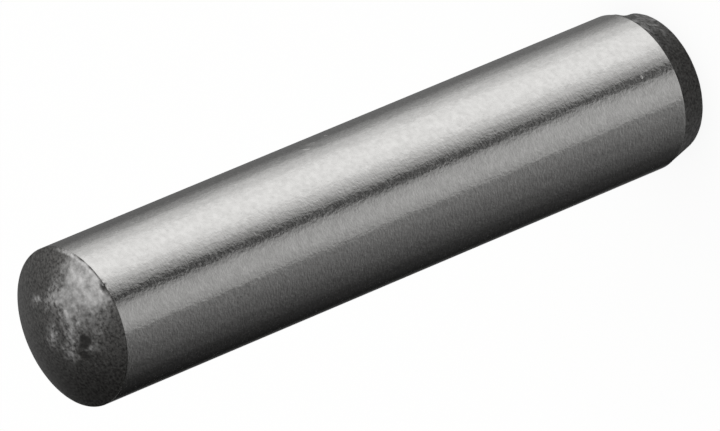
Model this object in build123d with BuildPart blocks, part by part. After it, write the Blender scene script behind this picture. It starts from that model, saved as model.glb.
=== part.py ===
from build123d import *
import os
from math import radians, sqrt, tan

# Parallel dowel pin of hardened steel, turned with its two ends finished, then ground on the
# shank alone. The chamfered end finds the hole, the ground shank fills it, and the crowned end
# takes the press or the mallet.
#
# Sizes are in millimetres. The pin stands on its chamfered end, with the origin at the middle
# of that end's flat face and +Z along the axis, towards the crown.

# Driving sizes
pin_diameter = 6.0          # of the ground shank
nominal_length = 28.0       # from the flat face to the foot of the crown
chamfer_length = 1.2        # along the axis
chamfer_angle = 15.0        # degrees, between the cone and the axis
crown_radius = 6.0          # of the sphere that the crown is a cap of
face_edge_rounding = 0.12   # tumbled edge between the flat face and the cone
crown_edge_rounding = 0.06  # tumbled edge between the shank and the crown

# Sizes that follow from them
pin_radius = pin_diameter / 2
face_radius = pin_radius - chamfer_length * tan(radians(chamfer_angle))
crown_height = crown_radius - sqrt(crown_radius**2 - pin_radius**2)
overall_length = nominal_length + crown_height

with BuildPart() as dowel_pin:
    # Half of the pin's section, as the lathe tool and the grinding wheel leave it.
    with BuildSketch(Plane.XZ):
        with BuildLine():
            flat_face = Line((0, 0), (face_radius, 0))
            chamfer_cone = Line(flat_face @ 1, (pin_radius, chamfer_length))
            ground_shank = Line(chamfer_cone @ 1, (pin_radius, nominal_length))
            crown = RadiusArc(ground_shank @ 1, (0, overall_length), -crown_radius)
            Line(crown @ 1, flat_face @ 0)
        make_face()
    revolve(axis=Axis.Z)

    # The three round edges, from the flat face upwards. The middle one, where grinding cuts the
    # cone off, stays crisp.
    face_edge, grinding_edge, crown_edge = (
        dowel_pin.edges().filter_by(lambda edge: edge.is_closed).sort_by(Axis.Z)
    )
    fillet(face_edge, face_edge_rounding)
    fillet(crown_edge, crown_edge_rounding)

dowel_pin.part.label = "dowel_pin"

os.makedirs("parts", exist_ok=True)
export_step(dowel_pin.part, "parts/dowel_pin.step")

print(f"overall length {overall_length:.3f} mm, flat face diameter {2 * face_radius:.3f} mm")
print(f"volume {dowel_pin.part.volume:.1f} mm3")
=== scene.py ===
# %% [markdown]
# # A hardened and ground dowel pin
#
# A dowel pin is a short steel bar that lines up two machine parts. It is turned to shape, ends
# and all, then hardened in a furnace, which leaves a thin dark skin all over. The last step
# grinds the shank to size, so the shank is bright and the crown, the chamfer and the flat face
# keep the dark skin. The whole look of the pin is that contrast, so this lesson spends its effort
# on two finishes and on the light that they mirror.
#
# The pin stands on its chamfered end, with +Z along its axis towards the crown. Lengths are in
# metres, and a size in millimetres is multiplied by MM.

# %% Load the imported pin
import math

import bpy
import numpy as np
from mathutils import Matrix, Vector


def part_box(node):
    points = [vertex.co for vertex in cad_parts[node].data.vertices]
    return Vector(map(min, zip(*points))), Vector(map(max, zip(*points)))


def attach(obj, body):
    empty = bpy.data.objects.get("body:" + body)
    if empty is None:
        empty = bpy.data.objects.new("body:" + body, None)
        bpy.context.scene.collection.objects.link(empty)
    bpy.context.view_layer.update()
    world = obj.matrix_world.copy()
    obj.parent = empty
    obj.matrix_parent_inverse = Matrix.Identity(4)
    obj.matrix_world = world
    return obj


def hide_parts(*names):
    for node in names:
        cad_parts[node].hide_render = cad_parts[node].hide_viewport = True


MM = 0.001

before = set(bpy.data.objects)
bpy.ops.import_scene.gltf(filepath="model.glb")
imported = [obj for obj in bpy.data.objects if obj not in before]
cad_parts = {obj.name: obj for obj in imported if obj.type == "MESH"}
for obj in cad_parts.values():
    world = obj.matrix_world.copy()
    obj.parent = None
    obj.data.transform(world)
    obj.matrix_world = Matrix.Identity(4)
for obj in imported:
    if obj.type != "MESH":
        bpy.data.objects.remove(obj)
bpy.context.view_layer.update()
print("nodes:", list(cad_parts))

# %% [markdown]
# ## The sizes
#
# The diameter and the overall length are read from the frame, so the surface below always fits
# it. The sizes of the ends can't be read from a box, so they are written here as the drawing
# gives them. Only the rounding of the grinding edge isn't on the drawing: the edge is crisp, and
# a trace of rounding lets it catch the light. The crown is a cap of a sphere, and its height
# follows from the two radii.

# %% Sizes of the pin
low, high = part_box("dowel_pin")
pin_radius = min(high.x, high.y, -low.x, -low.y)
overall_length = high.z
crown_sphere = 6.0 * MM
chamfer_length = 1.2 * MM
chamfer_angle = math.radians(15)
face_edge_rounding = 0.12 * MM
grinding_edge_rounding = 0.02 * MM
crown_edge_rounding = 0.06 * MM

crown_height = crown_sphere - math.sqrt(crown_sphere**2 - pin_radius**2)
crown_foot = overall_length - crown_height
face_radius = pin_radius - chamfer_length * math.tan(chamfer_angle)
print(f"pin {2 * pin_radius / MM:.2f} x {crown_foot / MM:.2f} mm, crown {crown_height / MM:.2f} mm")

# %% [markdown]
# ## The profile
#
# A turned part is one line carried round an axis. The line starts at the middle of the flat face
# and ends at the top of the crown. It is built from straight runs and arcs, each given as rows of
# (radius, height, slope), where slope is the angle of the outward normal above the horizontal.
# With the normal known exactly, dents can later be pushed in square to the surface.
#
# An edge of a real pin is never quite sharp: tumbling rounds it. So every corner here is a small
# arc that touches both of its neighbours. Rings lie close together on the crown and the chamfer,
# which carry marks, and far apart along the plain shank.

# %% Profile helpers
def straight(start, end, slope, rings):
    """Rows from start to end, each point a weighted mean of the two, all with one normal."""
    t = np.linspace(0, 1, rings)[:, None]
    points = (1 - t) * np.array(start) + t * np.array(end)
    return np.column_stack([points, np.full(rings, slope)])


def arc(centre, radius, first_slope, last_slope, rings):
    """Rows on a circle: centre plus radius times (cosine, sine) of a slope that runs evenly."""
    slope = np.linspace(first_slope, last_slope, rings)
    return np.column_stack([centre[0] + radius * np.cos(slope),
                            centre[1] + radius * np.sin(slope), slope])


# %% Arcs at the three edges
down, up = -math.pi / 2, math.pi / 2
face_edge_rings, grinding_edge_rings, crown_edge_rings = 7, 4, 10

# The centre of the first arc lies one rounding above the flat face and one inside the cone.
face_arc_z = face_edge_rounding
face_arc_r = (face_radius + face_arc_z * math.tan(chamfer_angle)
              - face_edge_rounding / math.cos(chamfer_angle))
face_edge = arc((face_arc_r, face_arc_z), face_edge_rounding, down, -chamfer_angle,
                face_edge_rings)

# The arc at the grinding edge touches the cone and the shank.
grinding_arc_r = pin_radius - grinding_edge_rounding
grinding_arc_z = chamfer_length + grinding_edge_rounding * math.tan(chamfer_angle / 2)
grinding_edge = arc((grinding_arc_r, grinding_arc_z), grinding_edge_rounding, -chamfer_angle, 0,
                    grinding_edge_rings)

# The arc at the crown's foot touches the shank, and the sphere from inside.
crown_centre_z = overall_length - crown_sphere
crown_arc_r = pin_radius - crown_edge_rounding
crown_arc_z = crown_centre_z + math.sqrt(
    (crown_sphere - crown_edge_rounding) ** 2 - crown_arc_r**2)
crown_slope = math.atan2(crown_arc_z - crown_centre_z, crown_arc_r)
crown_edge = arc((crown_arc_r, crown_arc_z), crown_edge_rounding, 0, crown_slope,
                 crown_edge_rings)
print("crown starts at", round(crown_edge[0, 1] / MM, 3), "mm")

# %% The whole profile, from the flat face to the top of the crown
pole_gap = 0.02 * MM        # the pole itself is one point, added when the mesh is made
marked_shank = 1.0 * MM     # past the chamfer, where a knock fades out
last_shank = 0.5 * MM       # before the crown, so that no long face meets its rim
flat_rings, cone_rings, crown_rings = 10, 34, 98
marked_rings, plain_rings, last_rings = 14, 14, 10

near_chamfer = (pin_radius, chamfer_length + marked_shank)
near_crown = (pin_radius, crown_foot - last_shank)
# The slices drop the rows that a stretch shares with its neighbours.
profile = np.concatenate([
    straight((pole_gap, 0), face_edge[0, :2], down, flat_rings)[:-1],
    face_edge,
    straight(face_edge[-1, :2], grinding_edge[0, :2], -chamfer_angle, cone_rings)[1:-1],
    grinding_edge,
    straight(grinding_edge[-1, :2], near_chamfer, 0, marked_rings)[1:],
    straight(near_chamfer, near_crown, 0, plain_rings)[1:],
    straight(near_crown, crown_edge[0, :2], 0, last_rings)[1:-1],
    crown_edge,
    arc((0, crown_centre_z), crown_sphere, crown_slope, up - pole_gap / crown_sphere,
        crown_rings)[1:],
])
print("profile rings:", len(profile))

# %% [markdown]
# ## Carry the profile round the axis
#
# The surface is a function of two parameters: the ring i along the profile and the turn j about
# the axis. Turn 0 faces the camera, towards -Y, and turns grow towards +X. All the points are
# worked out at once as one array of rings by turns.

# %% Points and normals of the plain surface
turn_count = 480
turn = np.linspace(0, 2 * math.pi, turn_count, endpoint=False)
ring_radius, ring_height, ring_slope = profile.T[:, :, None]
outward = np.stack([np.sin(turn), -np.cos(turn)], axis=-1)[None]


def around(radial, axial):
    """Vectors with a radial part, along each turn's outward line, and an axial part, along Z."""
    flat = radial[..., None] * outward
    return np.concatenate([flat, np.broadcast_to(axial[..., None], flat.shape[:2] + (1,))], axis=-1)


plain = around(ring_radius, ring_height)
normal = around(np.cos(ring_slope), np.sin(ring_slope))
print("grid of points:", plain.shape)

# %% [markdown]
# ## Noise in space
#
# Dents, pits and rubbed spots need an uneven number at every point, and neighbours must agree.
# Value noise gives that: a lattice of cubes holds a random number at each corner, and a point
# takes a smooth mean of the eight corners round it. Sums of it at halved sizes look like the
# grain of a real surface. The random numbers are seeded, so every run gives the same pin.

# %% Noise helpers
lattice_side = 32   # cells before the random numbers come round again
lattice_turn = np.array(Matrix.Rotation(0.9, 3, (1, 2, 3)))   # any odd turn about a slanting axis


def value_noise(points, cell, seed):
    """Smoothstep blend of the eight random lattice corners round each point, from 0 to 1."""
    table = np.random.default_rng(seed).random((lattice_side,) * 3)
    place = points / cell
    corner = np.floor(place).astype(int)
    part = place - corner
    part = part * part * (3 - 2 * part)
    total = np.zeros(points.shape[:-1])
    for step in np.ndindex(2, 2, 2):
        weight = np.where(step, part, 1 - part).prod(axis=-1)
        total += weight * table[tuple(np.moveaxis((corner + step) % lattice_side, -1, 0))]
    return total


def grain(points, cell, octaves, seed):
    """Value noise at cell, half of it, and so on, each half as strong, scaled back to 0 to 1.

    Each lattice is turned against the one before, so that no square pattern shows."""
    strengths = 0.5 ** np.arange(octaves)
    total = np.zeros(points.shape[:-1])
    for octave, strength in enumerate(strengths):
        points = points @ lattice_turn
        total += strength * value_noise(points, cell * strength, seed + octave)
    return total / strengths.sum()


def rise(value, start, end):
    """Smoothstep: 0 up to start, 1 from end, and a smooth slope between."""
    t = np.clip((value - start) / (end - start), 0, 1)
    return t * t * (3 - 2 * t)


# %% [markdown]
# ## Wear on the crown
#
# The furnace leaves the dark skin, and then the pins rub on each other in the tumbler. On the
# crown the skin is worn thin in a broad patch by the rim and in broken blotches round the middle.
# It could be painted by hand on an image, but an image fits one shape only. Here the wear is one
# number at every point of the surface, from 0 for sound skin to 1 for bare steel.
#
# Noises make it uneven. A fine one mottles it, a broad one fades the patch, and a pair of them
# moves the points about, so that outlines fray.

# %% Noises for the crown
crown_blend = 0.03 * MM
mottle_size, broad_size, warp_size = 0.20 * MM, 0.55 * MM, 0.50 * MM

x, y, z = np.moveaxis(plain, -1, 0)
on_crown = rise(z, crown_foot, crown_foot + crown_blend)
mottle = rise(grain(plain, mottle_size, octaves=3, seed=23), start=0.34, end=0.68)
broad = rise(grain(plain, broad_size, octaves=2, seed=53), start=0.25, end=0.75)
warp = [warp_size * (grain(plain, warp_size, octaves=3, seed=seed) - 0.5) for seed in (41, 47)]
print("mean of the mottle on the crown:", mottle[on_crown > 0].mean().round(2))

# %% [markdown]
# The wear is a sum of soft ovals for where the rubbing was, times those noises for where it took
# hold. Two dark spots, half way to the rim, are sunk too deep to be rubbed, so they are taken out
# of the sum.
#
# Places are in millimetres, as seen from above the crown with the camera's side at the bottom.

# %% Where the crown is worn
def oval(centre, half_size, tilt, core):
    """1 in the core of a tilted ellipse, smoothly 0 at its rim; the warp frays its outline.

    core is a share of the ellipse's size: 0 is a soft hill, and more gives it a flat top."""
    across, along = x + warp[0] - centre[0] * MM, y + warp[1] - centre[1] * MM
    c, s = math.cos(math.radians(tilt)), math.sin(math.radians(tilt))
    u = (c * across + s * along) / (half_size[0] * MM)
    v = (c * along - s * across) / (half_size[1] * MM)
    return on_crown * (1 - rise(np.hypot(u, v), core, 1.0))


def painted(ovals):
    """The sum of level times oval, over rows of level, centre, half size, tilt and core."""
    return sum(level * oval(*shape) for level, *shape in ovals)


polished = painted([
    (0.62, (1.32, -2.20), (1.45, 1.05), 33, 0.4),
    (0.50, (0.85, -1.80), (2.00, 1.60), 25, 0),
])
rubbed = painted([
    (0.54, (0.62, -1.12), (1.40, 0.75), 12, 0),
    (0.16, (0.40, -2.35), (0.90, 0.80), 0, 0),
    (0.30, (1.22, -0.40), (0.55, 0.85), -15, 0),
    (0.54, (-0.68, -0.80), (0.70, 0.50), -35, 0),
    (0.36, (-0.85, -0.30), (0.50, 0.50), 0, 0),
    (0.68, (-0.08, 0.24), (0.65, 0.60), 0, 0),
    (0.12, (0.30, -0.30), (1.30, 0.80), 0, 0),
    (0.34, (1.35, 0.50), (0.25, 0.60), 0, 0),
    (0.45, (-0.92, -1.38), (0.28, 0.40), 20, 0),
    (0.30, (0.00, -0.80), (0.50, 0.40), 0, 0),
    (0.05, (-0.90, -1.90), (0.90, 0.50), 0, 0),
])
pit = painted([
    (1.0, (-0.75, -1.26), (0.31, 0.35), 0, 0.5),
    (0.8, (-1.18, -1.00), (0.36, 0.28), 30, 0.3),
])

# Shares of the wear that are even, and that follow a noise.
even_polish, mottled_polish, broad_polish = 0.68, 0.25, 0.40
even_rub, mottled_rub = 0.62, 0.85
crown_wear = (polished * (even_polish + mottled_polish * mottle + broad_polish * broad)
              + rubbed * (even_rub + mottled_rub * mottle))
crown_wear = np.clip(crown_wear * (1 - pit), 0, 1)
print("crown wear, mean:", crown_wear[on_crown > 0].mean().round(2),
      "most:", crown_wear.max().round(2))

# %% [markdown]
# ## Wear on the chamfer and the rim
#
# The chamfer is sheltered and is rubbed a little, more on one side. The rounded rim of the crown
# keeps its skin too, so a thin dark line parts it from the shank. On the side of the broad patch
# the rim is polished bare, next to a few small nicks. The bare stretch lies just where the rounding
# catches the light, so it is partly wear and partly a painted highlight. Here a place is a turn,
# in degrees.

# %% Wear on the chamfer, the crown's rim, and nicks
def about(centre, width):
    """1 at that turn, in degrees, and a bell curve of that width to both sides."""
    return np.exp(-((degrees - centre) / width) ** 2)


degrees = (np.degrees(turn)[None] + 180) % 360 - 180
chamfer_spot_size, rim_spot_size = 0.22 * MM, 0.15 * MM
chamfer_blend = 0.01 * MM

on_chamfer = 1 - rise(z, chamfer_length - chamfer_blend, chamfer_length)
chamfer_spots = rise(grain(plain, chamfer_spot_size, octaves=4, seed=61), start=0.35, end=0.65)
main_rub = 0.38 * about(centre=52, width=20) * (0.4 + chamfer_spots)
lesser_rub = 0.10 * about(centre=-62, width=25) * (0.5 + chamfer_spots)
edge_rub = 0.08 * rise(z / MM, start=0.6, end=1.2) * chamfer_spots
chamfer_wear = on_chamfer * (main_rub + lesser_rub + edge_rub)

from_rim = np.abs(z - crown_foot) / MM
at_rim = 1 - rise(from_rim, start=0.04, end=0.09)
rim_spots = rise(grain(plain, rim_spot_size, octaves=3, seed=67), start=0.35, end=0.65)
# Bare steel where the rounding catches the light: partly wear, partly a painted highlight.
bare_highlight_stretch = 0.8 * about(centre=58, width=8)
spotty_stretch = 0.7 * about(centre=34, width=15) * (0.5 + 0.5 * rim_spots)
rim_wear_and_highlight = at_rim * (bare_highlight_stretch + spotty_stretch)
nicks = (about(centre=17, width=4) * rise(rim_spots, start=0.1, end=0.6)
         * (1 - rise(from_rim, start=0.04, end=0.13)))
print("points with more than half wear on the rim:", int((rim_wear_and_highlight > 0.5).sum()))

# %% [markdown]
# ## Dents and skin relief
#
# The marks are shape as well as colour, so the surface is pushed in along its normal. The skin's
# grain and blotches, the dark spots and the nicks are each one or two hundredths of a millimetre
# deep at most. One knock on the chamfer is deep enough to show in the outline. It is a slanting
# furrow, which climbs the chamfer from one side to the other. Nothing is pushed outwards, so the
# pin never leaves its box.

# %% Depth of the relief
skin_grain_size, skin_grain_depth = 0.22 * MM, 0.010 * MM
blotch_depth = 0.008 * MM
pit_depth = 0.015 * MM
nick_depth = 0.02 * MM
knock_depth = 0.062 * MM
knock_turn, knock_width = 79, 11   # degrees
knock_height = 0.42 * MM           # at the knock's own turn
knock_slant = 0.038 * MM           # lower by this much with each degree
knock_reach = 0.42                 # mm above and below that line
skin_blend = 0.02 * MM

has_skin = on_chamfer + rise(z, crown_foot, crown_foot + skin_blend)
skin_grain = has_skin * grain(plain, skin_grain_size, octaves=3, seed=31)
blotches = on_crown * (1 - mottle) * rise(rubbed, start=0, end=0.3)
knock_line = knock_height - knock_slant * (degrees - knock_turn)
knock = (about(knock_turn, knock_width)
         * (1 - rise(np.abs(z - knock_line) / MM, start=0, end=knock_reach)))
depth = (skin_grain_depth * skin_grain + blotch_depth * blotches + pit_depth * pit
         + nick_depth * nicks + knock_depth * knock)
surface = plain - depth[..., None] * normal
print("deepest relief, mm:", (depth.max() / MM).round(3))

# %% [markdown]
# ## The mesh
#
# The grid becomes quads between neighbouring rings and turns, and a fan of triangles closes each
# pole. A pole lies at the mean of the ring beside it, so it makes no spike in the relief. Corners
# are listed so that every face points outwards.

# %% Build the mesh
rings = len(profile)
face_pole, crown_pole = rings * turn_count, rings * turn_count + 1
points = np.concatenate([surface.reshape(-1, 3), surface[[0, -1]].mean(axis=1)])

index = np.arange(rings * turn_count).reshape(rings, turn_count)
beside = np.roll(index, -1, axis=1)
quads = np.stack([index[:-1], beside[:-1], beside[1:], index[1:]], axis=-1).reshape(-1, 4)
bottom_fan = np.stack([np.full(turn_count, face_pole), beside[0], index[0]], axis=-1)
top_fan = np.stack([np.full(turn_count, crown_pole), index[-1], beside[-1]], axis=-1)

mesh = bpy.data.meshes.new("ground_pin")
mesh.from_pydata(points.tolist(), [], quads.tolist() + bottom_fan.tolist() + top_fan.tolist())
mesh.validate()
mesh.shade_smooth()
pin = bpy.data.objects.new("ground_pin", mesh)
bpy.context.scene.collection.objects.link(pin)
print("triangles:", 2 * len(quads) + 2 * turn_count)

# %% [markdown]
# The wear stays with the mesh as point attributes, which a material can read. There are three:
# how worn the skin is, how dark a pit or a nick is, and how far the skin comes off in flakes. The
# broad patch was rubbed evenly, so its flakes are half as strong.

# %% Keep the wear on the mesh
dark_level = 0.8
even_patch = 0.5


def keep_on_mesh(name, values):
    """Stores a number for each point; a pole gets the mean of the ring beside it."""
    attribute = mesh.attributes.new(name, "FLOAT", "POINT")
    with_poles = np.append(values.ravel(), values[[0, -1]].mean(axis=1))
    attribute.data.foreach_set("value", with_poles.astype(np.float32))
    print(f"{name}: {with_poles.min():.2f} to {with_poles.max():.2f}")


# The wear includes the rim's bare stretch, which is partly a painted highlight.
keep_on_mesh("wear", np.clip(crown_wear + chamfer_wear + rim_wear_and_highlight, 0, 1) * (1 - nicks))
keep_on_mesh("dark_marks", dark_level * np.clip(pit + nicks, 0, 1))
keep_on_mesh("flaking", 1 - even_patch * rise(polished, start=0.05, end=0.35))

# %% [markdown]
# ## Node helper and colours
#
# A material is a small graph. One function adds any node, sets its properties and feeds its
# inputs, so that the materials below read like recipes. Most inputs go by name. A Math node's are
# numbered in the order of its formula, and a Mix node has a pair for each kind of data, so those
# numbers get names here.
#
# Colours are written as the sRGB hex codes that a colour picker shows, and one function turns
# them into the linear values that Blender works with.

# %% Material helpers
FACTOR, NUMBER_A, NUMBER_B, COLOUR_A, COLOUR_B = 0, 2, 3, 6, 7
MIXED_COLOUR = 2


def add(tree, kind, inputs=None, **settings):
    """Adds a node. settings are its properties; inputs maps a socket to a value or an output."""
    node = tree.nodes.new(kind)
    for name, value in settings.items():
        setattr(node, name, value)
    for socket, value in (inputs or {}).items():
        if isinstance(value, bpy.types.NodeSocket):
            tree.links.new(value, node.inputs[socket])
        else:
            node.inputs[socket].default_value = value
    return node


def linear(hex_code):
    """The linear RGBA of an sRGB hex colour, by the standard's two-part curve."""
    s = np.array([int(hex_code[i:i + 2], 16) for i in (1, 3, 5)]) / 255
    return (*np.where(s <= 0.04045, s / 12.92, ((s + 0.055) / 1.055) ** 2.4).tolist(), 1.0)


def new_material(name):
    """An empty material with a Principled shader, and its tree."""
    material = bpy.data.materials.new(name)
    material.use_nodes = True
    return material, material.node_tree, material.node_tree.nodes["Principled BSDF"]


def finish_metal(tree, shader, colour, roughness, bump):
    """Makes a shader fully metallic and feeds it a colour, a roughness and a bumped normal."""
    shader.inputs["Metallic"].default_value = 1.0
    tree.links.new(colour, shader.inputs["Base Color"])
    tree.links.new(roughness, shader.inputs["Roughness"])
    tree.links.new(bump.outputs["Normal"], shader.inputs["Normal"])
    print("nodes in the material:", len(tree.nodes))


# %% [markdown]
# ## Ground steel
#
# Hardened tool steel, ground between wheels. Close up it is almost a mirror, but each grit of the
# wheel leaves a scratch a few hundredths of a millimetre wide, so the mirror image breaks up
# into a fine speckle. The eye sees soft bands along the shank with a sandy edge. The speckle is
# bump, roughness and a trace of colour: it is far too fine to be modelled. The scratches
# themselves are finer than a pixel, so the noises are drawn two or three pixels coarse.
#
# A speckle shows the slope of the surface, and a slope changes faster along its own direction
# than across it. So the grit's noise is stretched a little along the pin, which turns out round
# speckles. The finest noise, the cuts, is stretched a little round the pin instead, as the wheel
# turns. Broad waves, far longer than wide, make the bands wander as they do on a real pin.

# %% Ground steel: relief of the speckle
ground_steel, tree, shader = new_material("ground_hardened_steel")
place = add(tree, "ShaderNodeTexCoord").outputs["Object"]

grit_size, grit_height = 0.11 * MM, 0.0042 * MM
wave_size, wave_height = 0.45 * MM, 0.006 * MM
cut_size, cut_height = 0.075 * MM, 0.0032 * MM
along_pin, far_along_pin, round_pin = (1, 1, 0.65), (1, 1, 0.25), (0.6, 0.6, 1)

longer = add(tree, "ShaderNodeMapping", {"Vector": place, "Scale": along_pin})
grit = add(tree, "ShaderNodeTexNoise", {"Vector": longer.outputs[0], "Scale": 1 / grit_size,
                                        "Detail": 2.0})
much_longer = add(tree, "ShaderNodeMapping", {"Vector": place, "Scale": far_along_pin})
waves = add(tree, "ShaderNodeTexNoise", {"Vector": much_longer.outputs[0], "Scale": 1 / wave_size,
                                         "Detail": 1.0})
wider = add(tree, "ShaderNodeMapping", {"Vector": place, "Scale": round_pin})
cuts = add(tree, "ShaderNodeTexNoise", {"Vector": wider.outputs[0], "Scale": 1 / cut_size,
                                        "Detail": 1.0})

height = add(tree, "ShaderNodeMath", {0: grit.outputs["Fac"], 1: grit_height},
             operation="MULTIPLY").outputs[0]
for noise, noise_height in [(waves, wave_height), (cuts, cut_height)]:
    height = add(tree, "ShaderNodeMath", {0: noise.outputs["Fac"], 1: noise_height, 2: height},
                 operation="MULTIPLY_ADD").outputs[0]
print("grit, cuts and waves, mm:", [round(s / MM, 3) for s in (grit_size, cut_size, wave_size)])

# %% Ground steel: roughness and colour
bruise_size, cloud_size = 0.12 * MM, 0.22 * MM
smoothest, roughest = 0.07, 0.25
dull_steel, bright_steel = linear("#D5D4D2"), linear("#E4E3E1")

bruises = add(tree, "ShaderNodeTexNoise", {"Vector": place, "Scale": 1 / bruise_size,
                                           "Detail": 2.0})
roughness = add(tree, "ShaderNodeMapRange", {"Value": bruises.outputs["Fac"], "From Min": 0.42,
                                             "From Max": 0.72, "To Min": smoothest,
                                             "To Max": roughest}).outputs["Result"]
clouds = add(tree, "ShaderNodeTexNoise", {"Vector": place, "Scale": 1 / cloud_size, "Detail": 2.0})
tint = add(tree, "ShaderNodeMapRange", {"Value": clouds.outputs["Fac"], "From Min": 0.3,
                                        "From Max": 0.7})
steel = add(tree, "ShaderNodeMix", {FACTOR: tint.outputs["Result"], COLOUR_A: dull_steel,
                                    COLOUR_B: bright_steel}, data_type="RGBA")
print("roughness from", smoothest, "to", roughest)

# %% [markdown]
# A few marks from handling lie on the shank: a shallow dent with a raised burr and two bruises
# beside it, a small knock and two dark specks. They are too few and too small for the mesh, so
# each is a soft ellipse in the material, set square to the surface. A row gives its place round
# and along the pin, half its length and width, how far it is turned from round the pin, its
# depth, how dark it is and how much duller. A burr stands up, so its depth is below zero. A
# bruise spreads the mirror image, so it is pale in a dark band.

# %% Ground steel: marks from handling
marks = [
    # turn, height, half length, half width (mm), tilt, depth (mm), darkening, bruising
    (63.0, 16.20, 0.50, 0.28, -40, 0.012, 0.0, 0.0),
    (62.5, 16.65, 0.25, 0.14, -40, -0.014, 0.0, 0.10),
    (66.5, 16.05, 0.18, 0.12, -35, 0.002, 0.0, 0.25),
    (70.5, 15.30, 0.28, 0.14, 50, 0.002, 0.0, 0.25),
    (7.0, 2.65, 0.09, 0.06, 0, 0.010, 0.0, 0.0),
    (-26.5, 22.65, 0.06, 0.06, 0, 0.002, 0.6, 0.0),
    (27.5, 21.20, 0.07, 0.05, 40, 0.001, 0.15, 0.0),
]
into_pin = 1 * MM   # half size of each ellipse square to the surface
stain_colour = linear("#565553")

stain = add(tree, "ShaderNodeAttribute", attribute_name="dark_marks").outputs["Fac"]
for angle, along, half_length, half_width, tilt, deep, dark, bruise in marks:
    a = math.radians(angle)
    centre = (pin_radius * math.sin(a), -pin_radius * math.cos(a), along * MM)
    inside = add(tree, "ShaderNodeMapping",
                 {"Vector": place, "Location": centre, "Rotation": (0, math.radians(tilt), a),
                  "Scale": (half_length * MM, into_pin, half_width * MM)}, vector_type="TEXTURE")
    reach = add(tree, "ShaderNodeVectorMath", {0: inside.outputs[0]}, operation="LENGTH")
    mark = add(tree, "ShaderNodeMapRange", {"Value": reach.outputs["Value"], "From Max": 1.0,
                                            "To Min": 1.0, "To Max": 0.0},
               interpolation_type="SMOOTHSTEP").outputs["Result"]
    height, stain, roughness = [
        add(tree, "ShaderNodeMath", {0: mark, 1: share, 2: total},
            operation="MULTIPLY_ADD").outputs[0]
        for share, total in [(-deep * MM, height), (dark, stain), (bruise, roughness)]]
print("marks on the shank:", len(marks))

# %% Ground steel: shader
stained = add(tree, "ShaderNodeMix", {FACTOR: stain, COLOUR_A: steel.outputs[MIXED_COLOUR],
                                      COLOUR_B: stain_colour},
              data_type="RGBA", clamp_factor=True)
bump = add(tree, "ShaderNodeBump", {"Height": height, "Distance": 1.0, "Strength": 1.0})
finish_metal(tree, shader, stained.outputs[MIXED_COLOUR], roughness, bump)

# %% [markdown]
# ## Hardening skin
#
# The furnace turns the surface of the steel into a dark oxide a few thousandths of a millimetre
# thick. It is still metal to the eye, only dark and duller. Where it is worn, paler and smoother
# steel shows. The wear kept on the mesh mixes the two.
#
# Three noises break it up, each at the size that shows. The scale is the fine crust of the skin.
# Skin comes off in flakes, so a second noise raises and lowers the wear. It is multiplied by
# wear times one minus wear, which is largest at half wear and nothing on sound or bare steel, and
# by the flaking kept on the mesh. The rubs make the bare steel paler and darker in patches.

# %% Hardening skin: scale
hardening_skin, tree, shader = new_material("hardening_skin_on_steel")
place = add(tree, "ShaderNodeTexCoord").outputs["Object"]

scale_size, scale_height = 0.10 * MM, 0.005 * MM
dark_skin, pale_skin = linear("#3B3A39"), linear("#6D6C6A")

scale = add(tree, "ShaderNodeTexNoise", {"Vector": place, "Scale": 1 / scale_size, "Detail": 3.0,
                                         "Roughness": 0.6})
scale_tone = add(tree, "ShaderNodeMapRange", {"Value": scale.outputs["Fac"], "From Min": 0.34,
                                              "From Max": 0.66})
skin = add(tree, "ShaderNodeMix", {FACTOR: scale_tone.outputs["Result"], COLOUR_A: dark_skin,
                                   COLOUR_B: pale_skin}, data_type="RGBA")
bump = add(tree, "ShaderNodeBump", {"Height": scale.outputs["Fac"], "Distance": scale_height,
                                    "Strength": 1.0})
print("scale, mm:", round(scale_size / MM, 3))

# %% Hardening skin: wear in flakes
# The wear includes the rim's bare stretch, which is partly a painted highlight.
wear = add(tree, "ShaderNodeAttribute", attribute_name="wear").outputs["Fac"]
flaking = add(tree, "ShaderNodeAttribute", attribute_name="flaking").outputs["Fac"]

flake_size, flake_strength = 0.17 * MM, 1.6
flakes = add(tree, "ShaderNodeTexNoise", {"Vector": place, "Scale": 1 / flake_size, "Detail": 3.0,
                                          "Roughness": 0.6})
flake_tone = add(tree, "ShaderNodeMapRange", {"Value": flakes.outputs["Fac"], "From Min": 0.36,
                                              "From Max": 0.64, "To Min": -flake_strength,
                                              "To Max": flake_strength})
sound = add(tree, "ShaderNodeMath", {0: 1.0, 1: wear}, operation="SUBTRACT")
half_worn = add(tree, "ShaderNodeMath", {0: wear, 1: sound.outputs[0]}, operation="MULTIPLY")
half_worn = add(tree, "ShaderNodeMath", {0: half_worn.outputs[0], 1: flaking},
                operation="MULTIPLY")
patchy_wear = add(tree, "ShaderNodeMath", {0: half_worn.outputs[0],
                                           1: flake_tone.outputs["Result"], 2: wear},
                  operation="MULTIPLY_ADD", use_clamp=True)
print("flakes, mm:", round(flake_size / MM, 3))

# %% Hardening skin: bare steel, marks and shader
rubs_size = 0.24 * MM
dull_bare, bright_bare, mark_colour = linear("#A7A6A5"), linear("#D7D6D5"), linear("#3A3938")
skin_roughness, bare_roughness = 0.42, 0.30

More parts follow.
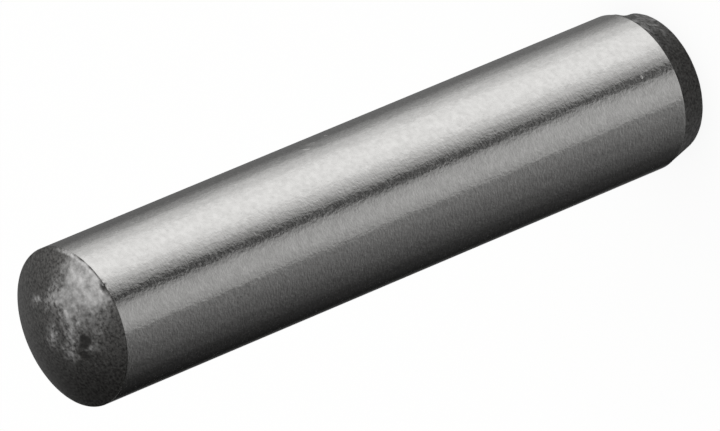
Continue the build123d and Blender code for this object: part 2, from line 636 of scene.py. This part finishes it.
rubs = add(tree, "ShaderNodeTexNoise", {"Vector": place, "Scale": 1 / rubs_size, "Detail": 4.0,
                                        "Roughness": 0.6})
rubs_tone = add(tree, "ShaderNodeMapRange", {"Value": rubs.outputs["Fac"], "From Min": 0.35,
                                             "From Max": 0.65})
bare = add(tree, "ShaderNodeMix", {FACTOR: rubs_tone.outputs["Result"], COLOUR_A: dull_bare,
                                   COLOUR_B: bright_bare}, data_type="RGBA")
worn = add(tree, "ShaderNodeMix", {FACTOR: patchy_wear.outputs[0],
                                   COLOUR_A: skin.outputs[MIXED_COLOUR],
                                   COLOUR_B: bare.outputs[MIXED_COLOUR]}, data_type="RGBA")
dark_marks = add(tree, "ShaderNodeAttribute", attribute_name="dark_marks").outputs["Fac"]
marked = add(tree, "ShaderNodeMix", {FACTOR: dark_marks, COLOUR_A: worn.outputs[MIXED_COLOUR],
                                     COLOUR_B: mark_colour}, data_type="RGBA")
dull = add(tree, "ShaderNodeMix", {FACTOR: wear, NUMBER_A: skin_roughness,
                                   NUMBER_B: bare_roughness}, data_type="FLOAT")
finish_metal(tree, shader, marked.outputs[MIXED_COLOUR], dull.outputs[0], bump)

# %% [markdown]
# ## Which face gets which finish
#
# Grinding cuts a crisp border between the two finishes, so each face takes one material or the
# other by its height: ground steel between the grinding edge and the start of the crown's rim.

# %% Put the finishes on
mesh.materials.append(ground_steel)
mesh.materials.append(hardening_skin)
ring_middle = (profile[:-1, 1] + profile[1:, 1]) / 2
is_skin = (ring_middle < chamfer_length) | (ring_middle > crown_edge[0, 1])
slots = np.concatenate([np.repeat(is_skin, turn_count), np.ones(2 * turn_count, bool)])
mesh.polygons.foreach_set("material_index", slots.astype(np.int32))

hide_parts("dowel_pin")
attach(pin, "root")
print("skin faces:", int(slots.sum()), "of", len(slots))

# %% [markdown]
# ## Floor
#
# The floor is a pale sheet under the pin. Most of its white is a glow that only shows to the
# camera and in mirrors and glass, and the rest is matt paint lit by the lamp and the sky, which
# keeps the pin's soft shadow. Behind the floor the world is the same white, and the cards of the
# next step stand in front of that. So the pin mirrors the world, and the floor is left out of
# its mirror image, where it would only hide the cards.
#
# The floor and the world both need to know which rays should find white, so that is a function.

# %% Make the floor
def finds_white(tree):
    """1 for a ray from the camera, off metal or through glass, and 0 for any other."""
    rays = add(tree, "ShaderNodeLightPath")
    found = rays.outputs["Is Camera Ray"]
    for kind in ("Is Glossy Ray", "Is Transmission Ray"):
        found = add(tree, "ShaderNodeMath", {0: found, 1: rays.outputs[kind]},
                    operation="MAXIMUM").outputs[0]
    return found


floor_side = 3.0
glow_share = 0.9
floor_mesh = bpy.data.meshes.new("studio_floor")
corners = floor_side / 2 * np.array([[-1, -1, 0], [1, -1, 0], [1, 1, 0], [-1, 1, 0]])
floor_mesh.from_pydata(corners.tolist(), [], [(0, 1, 2, 3)])
floor = bpy.data.objects.new("studio_floor", floor_mesh)
bpy.context.scene.collection.objects.link(floor)
floor.visible_glossy = False

floor_paint, tree, shader = new_material("pale_floor_paint")
tree.nodes.remove(shader)
share = add(tree, "ShaderNodeMath", {0: finds_white(tree), 1: glow_share}, operation="MULTIPLY")
matt = add(tree, "ShaderNodeBsdfDiffuse", {"Color": linear("#F4F4F2")})
white = add(tree, "ShaderNodeEmission", {"Color": (1, 1, 1, 1), "Strength": 1.0})
both = add(tree, "ShaderNodeMixShader", {0: share.outputs[0], 1: matt.outputs[0],
                                         2: white.outputs[0]})
tree.links.new(both.outputs[0], tree.nodes["Material Output"].inputs["Surface"])
floor_mesh.materials.append(floor_paint)
print("floor, m across:", floor_side)

# %% [markdown]
# ## The studio that the pin mirrors
#
# A polished cylinder shows its studio as bands along its length, because every point along a
# line of the shank mirrors the same compass direction. In a studio that is white all round it
# would look like paper, so a photographer stands grey and black cards about it. Here the
# brightness of those cards is written by compass direction, in degrees from the camera's side,
# growing towards +X. 1 means no card, so that the steel shows the white background itself.

# %% Cards by compass direction
studio = bpy.data.worlds.new("studio")
bpy.context.scene.world = studio
studio.use_nodes = True
tree = studio.node_tree
tree.nodes.clear()

cards = [(-180, 0.12), (-150, 0.012), (-120, 0.027), (-95, 0.065), (-75, 0.113), (-44, 0.185),
         (-39, 0.205), (-34, 0.37), (-18, 0.46), (-3, 0.43), (4, 0.30), (10, 0.075), (15, 0.085),
         (24, 0.345), (36, 0.64), (50, 0.94), (64, 1.0), (80, 0.97), (100, 0.69), (121, 0.32),
         (138, 0.16), (165, 0.16), (180, 0.12)]
direction = add(tree, "ShaderNodeTexCoord").outputs["Generated"]
parts = add(tree, "ShaderNodeSeparateXYZ", {0: direction})
up_part = parts.outputs["Z"]
minus_y = add(tree, "ShaderNodeMath", {0: parts.outputs["Y"], 1: -1.0}, operation="MULTIPLY")
compass = add(tree, "ShaderNodeMath", {0: parts.outputs["X"], 1: minus_y.outputs[0]},
              operation="ARCTAN2")
turned = add(tree, "ShaderNodeMapRange", {"Value": compass.outputs[0], "From Min": -math.pi,
                                          "From Max": math.pi})
bands = add(tree, "ShaderNodeValToRGB", {"Fac": turned.outputs["Result"]})
print("stops of the cards:", len(cards))

# %% [markdown]
# The cards are paler towards the ground, where the floor lights them, and again towards the
# horizon, which keeps the pin looking like steel from the side and from behind. A power does
# that: it leaves white alone and changes greys. The steel's speckle tips the mirror image up and
# down, so the slope near the ground also makes the speckle stronger in the grey and dark bands
# than in the white one. Steeply down, everything is the grey of the ground beside the pin.
#
# Heights are the upward part of the direction: -1 straight down, 0 at the horizon, 1 straight up.

# %% Cards by height
ground_power, wall_power, horizon_easing = 0.55, 1.45, 0.9
ground_tone = 0.27

power = add(tree, "ShaderNodeMapRange", {"Value": up_part, "From Min": -0.70, "From Max": -0.47,
                                         "To Min": ground_power, "To Max": wall_power})
easing = add(tree, "ShaderNodeMapRange", {"Value": up_part, "From Min": -0.45, "From Max": -0.31,
                                          "To Max": -horizon_easing},
             interpolation_type="SMOOTHSTEP")
power = add(tree, "ShaderNodeMath", {0: power.outputs["Result"], 1: easing.outputs["Result"]})
walls = add(tree, "ShaderNodeMath", {0: bands.outputs["Color"], 1: power.outputs[0]},
            operation="POWER")
above_ground = add(tree, "ShaderNodeMapRange", {"Value": up_part, "From Min": -0.80,
                                                "From Max": -0.67}, interpolation_type="SMOOTHSTEP")
walls = add(tree, "ShaderNodeMix", {FACTOR: above_ground.outputs["Result"], NUMBER_A: ground_tone,
                                    NUMBER_B: walls.outputs[0]}, data_type="FLOAT")
print("power of the cards:", ground_power, "at the ground,", wall_power, "above it")

# %% [markdown]
# The ceiling is one large soft light to the right of the pin that fades across to a dark left
# side, and a little towards the horizon. The dull crown mirrors it as a slow shade.

# %% Ceiling
ceiling_slope = (1.0, -0.45, 0.0)   # the way in which the ceiling grows brighter
ceiling_low, ceiling_high = -0.80, 0.45
ceiling_tones = [(ceiling_low, 0.05), (-0.65, 0.11), (-0.50, 0.33), (-0.35, 0.50), (0.0, 0.58),
                 (ceiling_high, 1.0)]
horizon_share = 0.70

across = add(tree, "ShaderNodeVectorMath", {0: direction, 1: ceiling_slope},
             operation="DOT_PRODUCT")
across = add(tree, "ShaderNodeMapRange", {"Value": across.outputs["Value"],
                                          "From Min": ceiling_low, "From Max": ceiling_high})
ceiling = add(tree, "ShaderNodeValToRGB", {"Fac": across.outputs["Result"]})
fading = add(tree, "ShaderNodeMapRange", {"Value": up_part, "From Min": 0.05, "From Max": 0.5,
                                          "To Min": horizon_share})
ceiling_light = add(tree, "ShaderNodeMath", {0: ceiling.outputs["Color"],
                                             1: fading.outputs["Result"]}, operation="MULTIPLY")
overhead = add(tree, "ShaderNodeMapRange", {"Value": up_part, "From Min": -0.22, "From Max": -0.02},
               interpolation_type="SMOOTHSTEP")
mirrored = add(tree, "ShaderNodeMix", {FACTOR: overhead.outputs["Result"],
                                       NUMBER_A: walls.outputs[0],
                                       NUMBER_B: ceiling_light.outputs[0]}, data_type="FLOAT")
print("stops of the ceiling:", len(ceiling_tones))

# %% [markdown]
# A gap between the cards, behind on the left, gives the pin a bright band when it is seen from
# the back. It is a soft round spot: the dot product of two directions is the cosine of the angle
# between them, so it is nearly 1 close to the middle of the gap.

# %% Gap behind
gap_middle = (-0.76, 0.63, -0.16)
gap_rim, gap_core, gap_tone = 0.955, 0.99, 0.85   # two cosines, and the brightness

nearness = add(tree, "ShaderNodeVectorMath", {0: direction, 1: gap_middle},
               operation="DOT_PRODUCT")
gap = add(tree, "ShaderNodeMapRange", {"Value": nearness.outputs["Value"], "From Min": gap_rim,
                                       "From Max": gap_core, "To Max": gap_tone},
          interpolation_type="SMOOTHSTEP")
mirrored = add(tree, "ShaderNodeMath", {0: mirrored.outputs[0], 1: gap.outputs["Result"]},
               operation="MAXIMUM")
print("gap brightness:", gap_tone)

# %% Fill the two ramps
for node, stops in [(bands, cards), (ceiling, ceiling_tones)]:
    ramp = node.color_ramp
    ramp.interpolation = "EASE"
    start, end = stops[0][0], stops[-1][0]
    for at, tone in stops[1:-1]:
        ramp.elements.new((at - start) / (end - start))
    for element, (at, tone) in zip(ramp.elements, stops):
        element.color = (tone, tone, tone, 1)
    print("ramp stops:", len(ramp.elements))

# %% [markdown]
# The world is plain white for the camera, in mirrors and through glass. Mirrors see the cards
# in front of it. Matt things, which here means the floor, are lit by an even pale sky and one
# soft lamp.

# %% World and lamp
matt_sky = 0.95
plain_white = add(tree, "ShaderNodeMix", {FACTOR: finds_white(tree), NUMBER_A: matt_sky,
                                          NUMBER_B: 1.0}, data_type="FLOAT")
is_mirror = add(tree, "ShaderNodeLightPath").outputs["Is Glossy Ray"]
card_share = add(tree, "ShaderNodeMix", {FACTOR: is_mirror, NUMBER_A: 1.0,
                                         NUMBER_B: mirrored.outputs[0]}, data_type="FLOAT")
strength = add(tree, "ShaderNodeMath", {0: plain_white.outputs[0], 1: card_share.outputs[0]},
               operation="MULTIPLY")
sky = add(tree, "ShaderNodeBackground", {"Color": (1, 1, 1, 1), "Strength": strength.outputs[0]})
add(tree, "ShaderNodeOutputWorld", {"Surface": sky.outputs[0]})

lamp_place, lamp_tilt = (0.08, -0.02, 0.15), 0.45
lamp_data = bpy.data.lights.new("soft_lamp", "AREA")
lamp_data.size = 0.12
lamp_data.energy = 0.05
lamp = bpy.data.objects.new("soft_lamp", lamp_data)
lamp.matrix_world = Matrix.Translation(lamp_place) @ Matrix.Rotation(lamp_tilt, 4, "Y")
lamp.visible_camera = lamp.visible_glossy = False
bpy.context.scene.collection.objects.link(lamp)
print("nodes in the world:", len(tree.nodes))

# %% [markdown]
# ## Camera
#
# The picture looks down on the pin from about 36 degrees above the horizon, through a long lens,
# with the camera rolled so that the crown points to the lower left. Three things fix the framing:
# where the middle of the crown's rim lies in the picture, how many pixels a millimetre covers
# there, and how far away the camera is.

# %% Place the camera
picture_width, picture_height = 720, 431
camera_elevation = math.radians(35.68)
camera_roll = math.radians(22.78)
camera_distance = 500 * MM
rim_in_picture = (71.87, 326.97)
pixels_per_mm = 28.22

level_right = np.array([1.0, 0.0, 0.0])
level_up = np.array([0.0, math.sin(camera_elevation), math.cos(camera_elevation)])
forward = np.array([0.0, math.cos(camera_elevation), -math.sin(camera_elevation)])
right = -math.sin(camera_roll) * level_right - math.cos(camera_roll) * level_up
upward = math.cos(camera_roll) * level_right - math.sin(camera_roll) * level_up

step_right = (picture_width / 2 - rim_in_picture[0]) / pixels_per_mm * MM
step_up = (rim_in_picture[1] - picture_height / 2) / pixels_per_mm * MM
eye = (np.array([0, 0, crown_foot]) + step_right * right + step_up * upward
       - camera_distance * forward)

camera_data = bpy.data.cameras.new("picture_camera")
camera = bpy.data.objects.new("picture_camera", camera_data)
bpy.context.scene.collection.objects.link(camera)
camera_data.sensor_width = 36.0
camera_data.lens = (pixels_per_mm * camera_distance / MM) * camera_data.sensor_width / picture_width
camera_data.clip_start, camera_data.clip_end = 0.05, 10.0
stand = np.eye(4)
stand[:3] = np.column_stack([right, upward, -forward, eye])
camera.matrix_world = Matrix(stand.tolist())
bpy.context.scene.camera = camera
print(f"lens {camera_data.lens:.0f} mm")

# %% Colour management
bpy.context.scene.view_settings.view_transform = "Standard"
